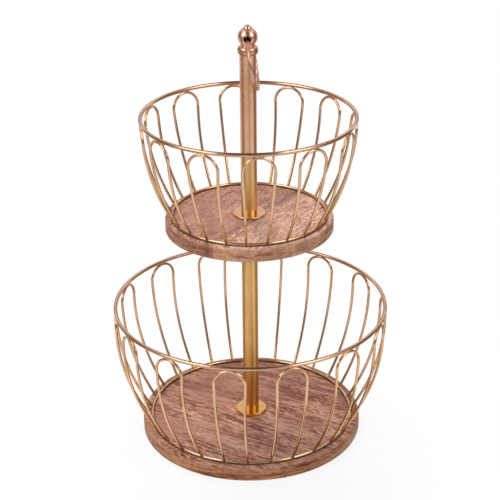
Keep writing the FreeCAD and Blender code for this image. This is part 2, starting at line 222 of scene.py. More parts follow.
def new_object(name: str, shape: bmesh.types.BMesh, material: Material) -> Object:
    """Turns a bmesh into a smooth object in the scene.

    Args:
        name: Name of the object.
        shape: Finished mesh, which is freed.
        material: Finish of the whole object.

    Returns:
        The new object, at the origin.
    """
    mesh = bpy.data.meshes.new(name)
    shape.to_mesh(mesh)
    shape.free()
    mesh.shade_smooth()
    mesh.materials.append(material)
    made = bpy.data.objects.new(name, mesh)
    bpy.context.scene.collection.objects.link(made)
    return made


@dataclass(frozen=True)
class MangoWood:
    """Mango wood in glued staves, sanded and oiled thin: pinkish brown, dark streaky fibres, little gloss.

    Lengths are in millimetres. A layer of grain is the length and width of its streaks and how strongly
    it shows. The finest ones are drawn about twice as wide as real fibres, so that they still show from
    the camera's place. A heart streak is its line across the grain, its half width and its strength. A
    painted contact shadow darkens the top face in a line along the base ring, which is given by the
    radius of its wire's middle. An onset is the pair of noise values between which a mark sets in.
    """

    name: str
    grain_angle: float
    ring_radius: float
    joints: tuple[float, ...]
    stave_tints: tuple[str, ...]
    heart_streaks: Layers
    dark: str = "#7E4838"
    body: str = "#B38068"
    light: str = "#D5A78E"
    tone_stops: tuple[float, float, float] = (0.17, 0.50, 0.83)
    stain: str = "#8C5C56"
    stain_strength: float = 0.4
    stain_size: float = 42.0
    stain_onset: tuple[float, float] = (0.45, 0.75)
    heart_sway: float = 20.0
    edge_tint: str = "#FFEBC6"
    edge_lift: float = 0.08
    edge_slope: tuple[float, float] = (0.45, 0.9)
    layers: Layers = ((130.0, 22.0, 1.0), (60.0, 4.6, 1.0), (30.0, 2.6, 1.7), (7.0, 2.2, 1.9))
    edge_layers: Layers = ((70.0, 7.0, 2.0), (30.0, 2.5, 1.9), (6.0, 2.2, 1.6))
    layer_detail: float = 2.5
    streak_roughness: float = 0.6
    figure_size: tuple[float, float, float] = (90.0, 38.0, 38.0)
    figure_gain: tuple[float, float] = (0.45, 1.55)
    pore_size: tuple[float, float, float] = (9.0, 2.4, 2.4)
    pore_onset: tuple[float, float] = (0.63, 0.76)
    pore_strength: float = 0.7
    wander_size: float = 70.0
    wander_reach: float = 9.0
    log_step: tuple[float, float, float] = (370.0, 0.0, 210.0)
    joint_width: float = 0.6
    joint_strength: float = 0.6
    # Painted contact shadow along the base ring: its colour, its reach from the ring's middle and its
    # strength.
    ring_shadow: str = "#4A2A1C"
    ring_shadow_reach: tuple[float, float] = (1.4, 3.3)
    ring_shadow_strength: float = 0.7
    dark_roughness: float = 0.62
    light_roughness: float = 0.44
    specular_level: float = 0.4
    relief: float = 0.18
    relief_strength: float = 0.5

    def material(self) -> Material:
        """Builds the wood: grain on the flat faces, and turned streaks round the edge.

        Returns:
            The finished material.
        """
        material, tree = new_material(self.name)
        coords = add_node(tree, "ShaderNodeTexCoord").outputs
        place, normal = coords["Object"], coords["Normal"]
        turned = add_node(
            tree,
            "ShaderNodeMapping",
            {"Vector": place, "Rotation": (0.0, 0.0, -math.radians(self.grain_angle))},
        )
        across = add_node(tree, "ShaderNodeSeparateXYZ", {"Vector": turned}).outputs["Y"]
        stave, seam = self.staves(tree, across)
        grain = self.wandering_grain(tree, turned, stave)
        edge = self.edge_mask(tree, normal)
        flat_tone = self.figured(tree, self.layered(tree, grain, self.layers), grain)
        edge_tone = self.layered(tree, place, self.edge_layers, around_edge=True, lift=self.edge_lift)
        tone = add_node(tree, "ShaderNodeMix", {"Factor": edge, "A": flat_tone, "B": edge_tone})
        colour = add_node(
            tree,
            "ShaderNodeValToRGB",
            {"Fac": tone},
            stops=tuple(zip(self.tone_stops, (self.dark, self.body, self.light))),
        )
        pore = self.pores(tree, grain)
        colour = self.aged(tree, colour, pore, turned, across)
        colour = self.glued(tree, colour, stave, seam, edge)
        # Painted shadow along the base ring.
        colour = self.shadowed_along_ring(tree, colour, place, normal)
        roughness = add_node(
            tree,
            "ShaderNodeMapRange",
            {"Value": tone, "To Min": self.dark_roughness, "To Max": self.light_roughness},
        )
        height = add_node(tree, "ShaderNodeMath", {0: tone, 1: pore}, operation="SUBTRACT")
        bump = add_node(
            tree,
            "ShaderNodeBump",
            {"Strength": self.relief_strength, "Distance": self.relief * MM, "Height": height},
        )
        shader = add_node(
            tree,
            "ShaderNodeBsdfPrincipled",
            {
                "Base Color": colour,
                "Roughness": roughness,
                "Normal": bump,
                "Specular IOR Level": self.specular_level,
            },
        )
        add_node(tree, "ShaderNodeOutputMaterial", {"Surface": shader})
        return material

    def staves(self, tree: NodeTree, across: NodeSocket) -> tuple[Node, Node]:
        """Numbers the staves and finds the glue lines between them.

        Args:
            tree: Node tree of the wood.
            across: Distance across the grain, in metres.

        Returns:
            The stave's number from zero, and a mask that is one on a glue line.
        """
        number: Node | None = None
        nearest: Node | None = None
        for joint in self.joints:
            past = add_node(tree, "ShaderNodeMath", {0: across, 1: joint * MM}, operation="GREATER_THAN")
            gap = self.distance_from(tree, across, joint)
            if number is None:
                number, nearest = past, gap
            else:
                number = add_node(tree, "ShaderNodeMath", {0: number, 1: past}, operation="ADD")
                nearest = add_node(tree, "ShaderNodeMath", {0: nearest, 1: gap}, operation="MINIMUM")
        half_width = self.joint_width * MM / 2
        seam = add_node(tree, "ShaderNodeMath", {0: nearest, 1: half_width}, operation="LESS_THAN")
        return number, seam

    def distance_from(self, tree: NodeTree, measure: Node | NodeSocket, line: float) -> Node:
        """Distance in metres from a line, which lies at so many millimetres of a measure in metres."""
        offset = add_node(tree, "ShaderNodeMath", {0: measure, 1: line * MM}, operation="SUBTRACT")
        return add_node(tree, "ShaderNodeMath", {0: offset}, operation="ABSOLUTE")

    def edge_mask(self, tree: NodeTree, normal: NodeSocket) -> Node:
        """Mask that is one on the upright edge and zero on the flat faces.

        Args:
            tree: Node tree of the wood.
            normal: Which way the surface faces.

        Returns:
            The node of the mask.
        """
        upward = add_node(tree, "ShaderNodeSeparateXYZ", {"Vector": normal}).outputs["Z"]
        flatness = add_node(tree, "ShaderNodeMath", {0: upward}, operation="ABSOLUTE")
        low, high = self.edge_slope
        return add_node(
            tree,
            "ShaderNodeMapRange",
            {"Value": flatness, "From Min": low, "From Max": high, "To Min": 1.0, "To Max": 0.0},
        )

    def layered(
        self,
        tree: NodeTree,
        place: Node | NodeSocket,
        layers: Layers,
        around_edge: bool = False,
        lift: float = 0.0,
    ) -> Node:
        """Adds up layers of streaks about their middle value.

        Args:
            tree: Node tree of the wood.
            place: Place in the log or on the board.
            layers: Length, width and strength of each layer's streaks.
            around_edge: Whether the streaks run round the upright edge, not along the grain.
            lift: How far the sum is moved up.

        Returns:
            The node of the sum, which lies about the middle plus the lift.
        """
        total: Node | float = MIDDLE + lift - MIDDLE * sum(strength for _, _, strength in layers)
        for length, width, strength in layers:
            size = (length, length if around_edge else width, width)
            layer = drawn_noise(tree, place, size, self.layer_detail, self.streak_roughness)
            total = add_node(
                tree, "ShaderNodeMath", {0: layer, 1: strength, 2: total}, operation="MULTIPLY_ADD"
            )
        return total

    def figured(self, tree: NodeTree, tone: Node, grain: Node) -> Node:
        """Lets the grain show strongly in some places and faintly in others.

        Args:
            tree: Node tree of the wood.
            tone: Sum of the grain's layers.
            grain: Place in the log.

        Returns:
            The node of the uneven tone.
        """
        patches = drawn_noise(tree, grain, self.figure_size, detail=1.0, roughness=self.streak_roughness)
        low, high = SOFT_ONSET
        faint, strong = self.figure_gain
        gain = add_node(
            tree,
            "ShaderNodeMapRange",
            {"Value": patches, "From Min": low, "From Max": high, "To Min": faint, "To Max": strong},
        )
        swing = add_node(tree, "ShaderNodeMath", {0: tone, 1: MIDDLE}, operation="SUBTRACT")
        return add_node(tree, "ShaderNodeMath", {0: swing, 1: gain, 2: MIDDLE}, operation="MULTIPLY_ADD")

    def pores(self, tree: NodeTree, grain: Node) -> Node:
        """Short dark dashes along the grain.

        Args:
            tree: Node tree of the wood.
            grain: Place in the log.

        Returns:
            The node of the pores' mask.
        """
        dashes = drawn_noise(tree, grain, self.pore_size, detail=1.0, roughness=self.streak_roughness)
        low, high = self.pore_onset
        return add_node(
            tree,
            "ShaderNodeMapRange",
            {"Value": dashes, "From Min": low, "From Max": high, "To Max": self.pore_strength},
        )

    def wandering_grain(self, tree: NodeTree, turned: Node, stave: Node) -> Node:
        """Bends the grain a little and starts each stave at another place in the log.

        Args:
            tree: Node tree of the wood.
            turned: Place on the board, with X along the grain.
            stave: Number of the stave.

        Returns:
            The place in the log.
        """
        wave = add_node(
            tree,
            "ShaderNodeTexNoise",
            {"Vector": turned, "Scale": per_metre(self.wander_size), "Detail": 1.0},
        )
        reach = self.wander_reach * MM
        sway = add_node(tree, "ShaderNodeMapRange", {"Value": wave, "To Min": -reach, "To Max": reach})
        sideways = add_node(tree, "ShaderNodeCombineXYZ", {"Y": sway})
        step = tuple(length * MM for length in self.log_step)
        start = add_node(tree, "ShaderNodeVectorMath", {"Vector": step, "Scale": stave}, operation="SCALE")
        bent = add_node(tree, "ShaderNodeVectorMath", {0: turned, 1: sideways}, operation="ADD")
        return add_node(tree, "ShaderNodeVectorMath", {0: bent, 1: start}, operation="ADD")

    def aged(self, tree: NodeTree, colour: Node, pore: Node, turned: Node, across: NodeSocket) -> Node:
        """Lays stains, dark heart streaks and pores over the grain.

        Args:
            tree: Node tree of the wood.
            colour: Colour of the grain.
            pore: Mask of the pores.
            turned: Place on the board.
            across: Distance across the grain, in metres.

        Returns:
            The darkened colour.
        """
        stain = linear(self.stain)
        patches = add_node(
            tree,
            "ShaderNodeTexNoise",
            {"Vector": turned, "Scale": per_metre(self.stain_size), "Detail": 3.0},
        )
        low, high = self.stain_onset
        amount = add_node(
            tree,
            "ShaderNodeMapRange",
            {"Value": patches, "From Min": low, "From Max": high, "To Max": self.stain_strength},
        )
        stained = add_node(
            tree, "ShaderNodeMix", {"Factor": amount, "A": colour, "B": stain}, data_type="RGBA"
        )
        sway = self.heart_sway * MM
        swayed = add_node(
            tree, "ShaderNodeMath", {0: patches, 1: sway, 2: across}, operation="MULTIPLY_ADD"
        )
        for line, width, strength in self.heart_streaks:
            gap = self.distance_from(tree, swayed, line + MIDDLE * self.heart_sway)
            streak = add_node(
                tree,
                "ShaderNodeMapRange",
                {"Value": gap, "From Min": 0.0, "From Max": width * MM, "To Min": strength, "To Max": 0.0},
                interpolation_type="SMOOTHSTEP",
            )
            stained = add_node(
                tree, "ShaderNodeMix", {"Factor": streak, "A": stained, "B": stain}, data_type="RGBA"
            )
        return add_node(
            tree, "ShaderNodeMix", {"Factor": pore, "A": stained, "B": linear(self.dark)}, data_type="RGBA"
        )

    def glued(self, tree: NodeTree, colour: Node, stave: Node, seam: Node, edge: Node) -> Node:
        """Tints the staves and the edge, and draws the glue lines.

        Args:
            tree: Node tree of the wood.
            colour: Colour of the aged grain.
            stave: Number of the stave.
            seam: Mask of the glue lines.
            edge: Mask of the upright edge.

        Returns:
            The colour of the glued board.
        """
        step = 1 / len(self.stave_tints)
        share = add_node(
            tree, "ShaderNodeMath", {0: stave, 1: step, 2: step / 2}, operation="MULTIPLY_ADD"
        )
        steps = [(index * step, tint) for index, tint in enumerate(self.stave_tints)]
        tint = add_node(tree, "ShaderNodeValToRGB", {"Fac": share}, stops=steps)
        tint.color_ramp.interpolation = "CONSTANT"
        for factor, shade in ((1.0, tint), (edge, linear(self.edge_tint))):
            colour = add_node(
                tree,
                "ShaderNodeMix",
                {"Factor": factor, "A": colour, "B": shade},
                data_type="RGBA",
                blend_type="MULTIPLY",
            )
        line = add_node(tree, "ShaderNodeMath", {0: seam, 1: self.joint_strength}, operation="MULTIPLY")
        return add_node(
            tree, "ShaderNodeMix", {"Factor": line, "A": colour, "B": linear(self.dark)}, data_type="RGBA"
        )

    def shadowed_along_ring(self, tree: NodeTree, colour: Node, place: NodeSocket, normal: NodeSocket) -> Node:
        """Paints a shadow that darkens the top face along both sides of the base ring.

        Args:
            tree: Node tree of the wood.
            colour: Colour of the glued board.
            place: Place on the board.
            normal: Which way the surface faces.

        Returns:
            The finished colour.
        """
        near, far = self.ring_shadow_reach
        radius = axis_distance(tree, place, "XY")
        line = add_node(
            tree,
            "ShaderNodeMapRange",
            {
                "Value": self.distance_from(tree, radius, self.ring_radius),
                "From Min": near * MM,
                "From Max": far * MM,
                "To Min": self.ring_shadow_strength,
                "To Max": 0.0,
            },
            interpolation_type="SMOOTHSTEP",
        )
        upward = add_node(tree, "ShaderNodeSeparateXYZ", {"Vector": normal}).outputs["Z"]
        amount = add_node(
            tree, "ShaderNodeMath", {0: line, 1: upward}, operation="MULTIPLY", use_clamp=True
        )
        # Colour of the painted shadow.
        ring_shadow = linear(self.ring_shadow)
        return add_node(
            tree, "ShaderNodeMix", {"Factor": amount, "A": colour, "B": ring_shadow}, data_type="RGBA"
        )


@dataclass(frozen=True)
class Bore:
    """A level hole drilled through a turned piece: dull inside, and darkened there with painted shade.

    Lengths are in millimetres, and the azimuth is in degrees from +Y. The blend is how far the painted
    shade fades out past the wall of the hole.
    """

    azimuth: float
    height: float
    radius: float
    blend: float = 0.4
    # Colour of the painted shade inside the hole.
    dark: str = "#2E1A14"
    roughness: float = 0.6

    def mask(self, tree: NodeTree, coords: NodeSocket) -> Node:
        """Mask of the painted shade, which is one on the wall of the hole.

        Args:
            tree: Node tree of the metal.
            coords: Place on the piece.

        Returns:
            The node of the mask.
        """
        lined_up = add_node(
            tree,
            "ShaderNodeMapping",
            {
                "Vector": coords,
                "Location": (0.0, 0.0, -self.height * MM),
                "Rotation": (0.0, 0.0, -math.radians(self.azimuth)),
            },
        )
        return add_node(
            tree,
            "ShaderNodeMapRange",
            {
                "Value": axis_distance(tree, lined_up, "XZ"),
                "From Min": self.radius * MM,
                "From Max": (self.radius + self.blend) * MM,
                "To Min": 1.0,
                "To Max": 0.0,
            },
        )


@dataclass(frozen=True)
class PlatedBrass:
    """Steel plated in brass and lacquered satin: soft gold reflections, fine polishing marks, faint dents.

    Lengths are in millimetres. The polishing marks are drawn wider than real ones, so that they show.
    Wear is how bright the plating is at the bottom of a mark and between the marks. Towards a piece's
    foot the colour can drift, between two heights, to a painted tone that stands in for the darker or
    yellower reflections and shade there. The axial spread, from zero to one, is how far reflections
    are drawn out along the axis.
    """

    name: str
    tone: str
    warm_tone: str
    brushing: Brushing
    roughness: tuple[float, float]
    wear: tuple[float, float] = (0.86, 1.10)
    mark_size: tuple[float, float] = (45.0, 0.6)
    mark_depth: float = 0.02
    mark_strength: float = 0.12
    cloud_size: float = 26.0
    dent_size: float = 4.5
    dent_depth: float = 0.05
    dent_strength: float = 0.6
    axial_spread: float = 0.0
    # Painted reflection and shade at the foot: the tone it drifts to, and the heights between which it
    # does.
    foot_reflection_tone: str | None = None
    foot_reflection_heights: tuple[float, float] = (0.0, 0.0)
    # A bore whose wall gets painted shade.
    shaded_bore: Bore | None = None

    def material(self) -> Material:
        """Builds the plated metal, with its gloss broken up by the polishing marks.

        Returns:
            The finished material.
        """
        material, tree = new_material(self.name)
        coords = add_node(tree, "ShaderNodeTexCoord").outputs["Object"]
        marks = self.polishing_marks(tree, coords)
        plated = self.plating(tree, coords)
        bottom, between = self.wear
        worn = add_node(tree, "ShaderNodeMapRange", {"Value": marks, "To Min": bottom, "To Max": between})
        colour = add_node(
            tree, "ShaderNodeVectorMath", {"Vector": plated, "Scale": worn}, operation="SCALE"
        )
        low, high = self.roughness
        gloss = add_node(tree, "ShaderNodeMapRange", {"Value": marks, "To Min": low, "To Max": high})
        # Painted shade: the wall of the bore is darkened and dulled.
        if self.shaded_bore:
            hole = self.shaded_bore.mask(tree, coords)
            colour = add_node(
                tree,
                "ShaderNodeMix",
                {"Factor": hole, "A": colour, "B": linear(self.shaded_bore.dark)},
                data_type="RGBA",
            )
            gloss = add_node(tree, "ShaderNodeMix", {"Factor": hole, "A": gloss, "B": self.shaded_bore.roughness})
        shader = add_node(
            tree,
            "ShaderNodeBsdfPrincipled",
            {
                "Base Color": colour,
                "Metallic": 1.0,
                "Roughness": gloss,
                "Normal": self.relief(tree, coords, marks),
                "Anisotropic": self.axial_spread,
                "Anisotropic Rotation": AXIAL_SPREAD_TURN,
                "Tangent": add_node(tree, "ShaderNodeTangent", direction_type="RADIAL", axis="Z"),
            },
        )
        add_node(tree, "ShaderNodeOutputMaterial", {"Surface": shader})
        return material

    def plating(self, tree: NodeTree, coords: NodeSocket) -> Node:
        """Clouds the two tones of the plating, and lets them drift to the painted reflection tone at the
        foot.

        Args:
            tree: Node tree of the metal.
            coords: Place on the piece.

        Returns:
            The node of the plating's colour.
        """
        cloud = add_node(
            tree,
            "ShaderNodeTexNoise",
            {"Vector": coords, "Scale": per_metre(self.cloud_size), "Detail": 3.0},
        )
        low, high = SOFT_ONSET
        warmth = add_node(tree, "ShaderNodeMapRange", {"Value": cloud, "From Min": low, "From Max": high})
        plated = add_node(
            tree,
            "ShaderNodeMix",
            {"Factor": warmth, "A": linear(self.tone), "B": linear(self.warm_tone)},
            data_type="RGBA",
        )
        # Painted reflection and shade at the foot.
        if self.foot_reflection_tone is None:
            return plated
        foot, top = self.foot_reflection_heights
        upright = add_node(tree, "ShaderNodeSeparateXYZ", {"Vector": coords}).outputs["Z"]
        share = add_node(
            tree,
            "ShaderNodeMapRange",
            {"Value": upright, "From Min": foot * MM, "From Max": top * MM, "To Min": 1.0, "To Max": 0.0},
            interpolation_type="SMOOTHSTEP",
        )
        return add_node(
            tree,
            "ShaderNodeMix",
            {"Factor": share, "A": plated, "B": linear(self.foot_reflection_tone)},
            data_type="RGBA",
        )

    def relief(self, tree: NodeTree, coords: NodeSocket, marks: Node) -> Node:
        """Faint dents, with the polishing marks on top of them.

        Args:
            tree: Node tree of the metal.
            coords: Place on the piece.
            marks: Noise of the polishing marks.

        Returns:
            The bump node.
        """
        dents = add_node(
            tree,
            "ShaderNodeTexNoise",
            {"Vector": coords, "Scale": per_metre(self.dent_size), "Detail": 1.0},
        )
        dented = add_node(
            tree,
            "ShaderNodeBump",
            {"Strength": self.dent_strength, "Distance": self.dent_depth * MM, "Height": dents},
        )
        return add_node(
            tree,
            "ShaderNodeBump",
            {
                "Strength": self.mark_strength,
                "Distance": self.mark_depth * MM,
                "Height": marks,
                "Normal": dented,
            },
        )

    def polishing_marks(self, tree: NodeTree, coords: NodeSocket) -> Node:
        """Fine marks that run the way the piece was polished.

        Args:
            tree: Node tree of the metal.
            coords: Place on the piece.

        Returns:
            The noise node of the marks.
        """
        length, width = self.mark_size
        size = (width, width, width)
        place: Node | NodeSocket = coords
        if self.brushing is Brushing.LENGTHWISE:
            size = (width, width, length)
        elif self.brushing is Brushing.TURNED:
            radius = axis_distance(tree, coords, "XY")
            height = add_node(tree, "ShaderNodeSeparateXYZ", {"Vector": coords}).outputs["Z"]
            place = add_node(tree, "ShaderNodeCombineXYZ", {"X": radius, "Z": height})
        return drawn_noise(tree, place, size, detail=2.0)


@dataclass(frozen=True)
class ZincSteel:
    """Zinc-plated steel of bought screws: cool grey with a faint cloudy bloom, sized in millimetres."""

    name: str = "zinc_plated_steel"
    pale: str = "#C9CBCC"
    dull: str = "#A3A6A8"
    bloom_size: float = 3.0
    roughness: tuple[float, float] = (0.28, 0.45)

    def material(self) -> Material:
        """Builds the zinc, with clouds that change both tone and gloss.

        Returns:
            The finished material.
        """
        material, tree = new_material(self.name)
        coords = add_node(tree, "ShaderNodeTexCoord").outputs["Object"]
        bloom = add_node(
            tree,
            "ShaderNodeTexNoise",
            {"Vector": coords, "Scale": per_metre(self.bloom_size), "Detail": 3.0},
        )
        clouds = tuple(zip(SOFT_ONSET, (self.dull, self.pale)))
        colour = add_node(tree, "ShaderNodeValToRGB", {"Fac": bloom}, stops=clouds)
        low, high = self.roughness
        gloss = add_node(tree, "ShaderNodeMapRange", {"Value": bloom, "To Min": low, "To Max": high})
        shader = add_node(
            tree, "ShaderNodeBsdfPrincipled", {"Base Color": colour, "Metallic": 1.0, "Roughness": gloss}
        )
        add_node(tree, "ShaderNodeOutputMaterial", {"Surface": shader})
        return material


def ring_radius(tier: Tier) -> float:
    """Radius of the middle of a tier's base ring.

    Args:
        tier: Floor that the ring lies on.

    Returns:
        The radius in millimetres.
    """
    low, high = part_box(f"{tier.value}_base_ring")
    outside = high[0] - low[0]
    thickness = high[2] - low[2]
    return (outside - thickness) / 2 / MM


@dataclass
class Board:
    """One wooden floor of the stand."""

    tier: Tier
    wood: MangoWood

    def dress(self) -> None:
        """Gives the board its wood."""
        dress_nodes([f"{self.tier.value}_board"], self.wood.material())


@dataclass
class WireBasket:
    """Rim, base ring and hairpin wires of one tier, with the weld beads that join them.

    Lengths are in millimetres. A bead's size is its reach along the hoop, outwards and upwards. A wire's
    points within the crown band of its top are its crown, and those within the foot band of its bottom
    are its feet. A bead's lumps are given by the share of its radius that they stand out, by how many lie
    on its radius, and by how far apart two beads are whose lumps differ.
    """

    tier: Tier
    loop_count: int
    rim_finish: PlatedBrass
    ring_finish: PlatedBrass
    wire_finish: PlatedBrass
    crown_bead: tuple[float, float, float] = (4.6, 1.5, 1.1)
    foot_bead: tuple[float, float, float] = (2.0, 1.2, 1.0)
    crown_band: float = 0.2
    foot_band: float = 1.6
    bead_subdivisions: int = 3
    lump_height: float = 0.16
    lump_count: float = 1.7
    lump_change: float = 2.0

    def loops(self) -> list[str]:
        """Names of the tier's hairpin wires."""
        return [f"{self.tier.value}_loop_{number:02d}" for number in range(1, self.loop_count + 1)]

    def dress(self) -> None:
        """Gives the wires their plating, and builds the beads."""
        tier = self.tier.value
        dress_nodes([f"{tier}_rim"], self.rim_finish.material())
        dress_nodes([f"{tier}_base_ring"], self.ring_finish.material())
        wire = self.wire_finish.material()
        dress_nodes(self.loops(), wire)
        self.build_beads(wire)

    def build_beads(self, material: Material) -> None:
        """Melts a bead at each crown and at each foot, as one piece for the tier.

        Args:
            material: Plating of the beads.
        """
        shape = bmesh.new()
        for name in self.loops():
            crown, feet = self.weld_points(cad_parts[name])
            self.add_bead(shape, crown, self.crown_bead)
            for foot in feet:
                self.add_bead(shape, foot, self.foot_bead)
        beads = new_object(f"{self.tier.value}_weld_beads", shape, material)
        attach(beads, STAND_BODY)
        LOG.info("built %s", beads.name)

    def weld_points(self, loop: Object) -> tuple[Vector, list[Vector]]:
        """Finds where a hairpin wire meets the rim and the base ring.

        Args:
            loop: CAD object of the wire.

        Returns:
            The crown's point under the rim, and the two feet.
        """
        points = [vertex.co for vertex in loop.data.vertices]
        crown_floor = max(point.z for point in points) - self.crown_band * MM
        foot_ceiling = min(point.z for point in points) + self.foot_band * MM
        top = [point for point in points if point.z > crown_floor]
        crown = sum(top, Vector()) / len(top)
        sideways = Vector((-crown.y, crown.x, 0.0))
        low = [point for point in points if point.z < foot_ceiling]
        feet = []
        for side in (-1, 1):
            foot = [point for point in low if side * sideways.dot(point) > 0]
            feet.append(sum(foot, Vector()) / len(foot))
        return crown, feet

    def add_bead(self, shape: bmesh.types.BMesh, place: Vector, size: tuple[float, float, float]) -> None:
        """Adds one slightly lumpy bead, laid along the hoop that it is melted to.

        Args:
            shape: Mesh that gets the bead.
            place: Middle of the bead.
            size: Reach along the hoop, outwards and upwards, in millimetres.
        """
        along_hoop = math.atan2(place.y, place.x) + math.pi / 2
        scale = Matrix.Diagonal((*(side * MM for side in size), 1.0))
        settle = Matrix.Translation(place) @ Matrix.Rotation(along_hoop, 4, "Z") @ scale
        ball = bmesh.ops.create_icosphere(shape, subdivisions=self.bead_subdivisions, radius=1.0)
        for vertex in ball["verts"]:
            lump = noise.noise(vertex.co * self.lump_count + place / (self.lump_change * MM))
            vertex.co *= 1.0 + self.lump_height * lump
        bmesh.ops.transform(shape, matrix=settle, verts=ball["verts"])


@dataclass
class CentralTube:
    """The two lengths of tube, their flanges and the hidden screws and plugs."""

    lower_finish: PlatedBrass
    upper_finish: PlatedBrass
    lower_flange_finish: PlatedBrass
    upper_flange_finish: PlatedBrass
    hardware_finish: ZincSteel

    def dress(self) -> None:
        """Gives the tubes and flanges their plating, and the hidden pieces their zinc."""
        dress_nodes(["lower_pole"], self.lower_finish.material())
        dress_nodes(["upper_pole"], self.upper_finish.material())
        dress_nodes(["lower_flange"], self.lower_flange_finish.material())
        dress_nodes(["upper_flange"], self.upper_flange_finish.material())
        plugs = [f"{tier.value}_pole_{end}_plug" for tier in Tier for end in ("foot", "head")]
        pins = [f"{tier.value}_ring_pins" for tier in Tier]
        fixings = ["base_washer", "base_screw", "tier_stud", "finial_stud"]
        dress_nodes([*plugs, *pins, *fixings], self.hardware_finish.material())


@dataclass
class Handle:
    """The turned finial and the loose carrying ring."""

    finial_finish: PlatedBrass
    ring_finish: PlatedBrass

    def dress(self) -> None:
        """Gives the finial and the ring their plating."""
        dress_nodes(["finial"], self.finial_finish.material())
        dress_nodes(["carry_ring"], self.ring_finish.material())


@dataclass(frozen=True)
class Softbox:
    """A square lamp, in metres, that looks at the stand and lights a facing white card to its level."""

    name: str
    place: tuple[float, float, float]
    width: float
    level: float


@dataclass(frozen=True)
class Flag:
    """A card swept round the stand that shows only in reflections, dark or glowing.

    Azimuths are in degrees from the camera's side. Reach and height, in metres, are those of the card's
    two edges.
    """

    name: str
    azimuths: tuple[float, float]
    reach: tuple[float, float]
    height: tuple[float, float]
    shade: str
    glow: float = 1.0


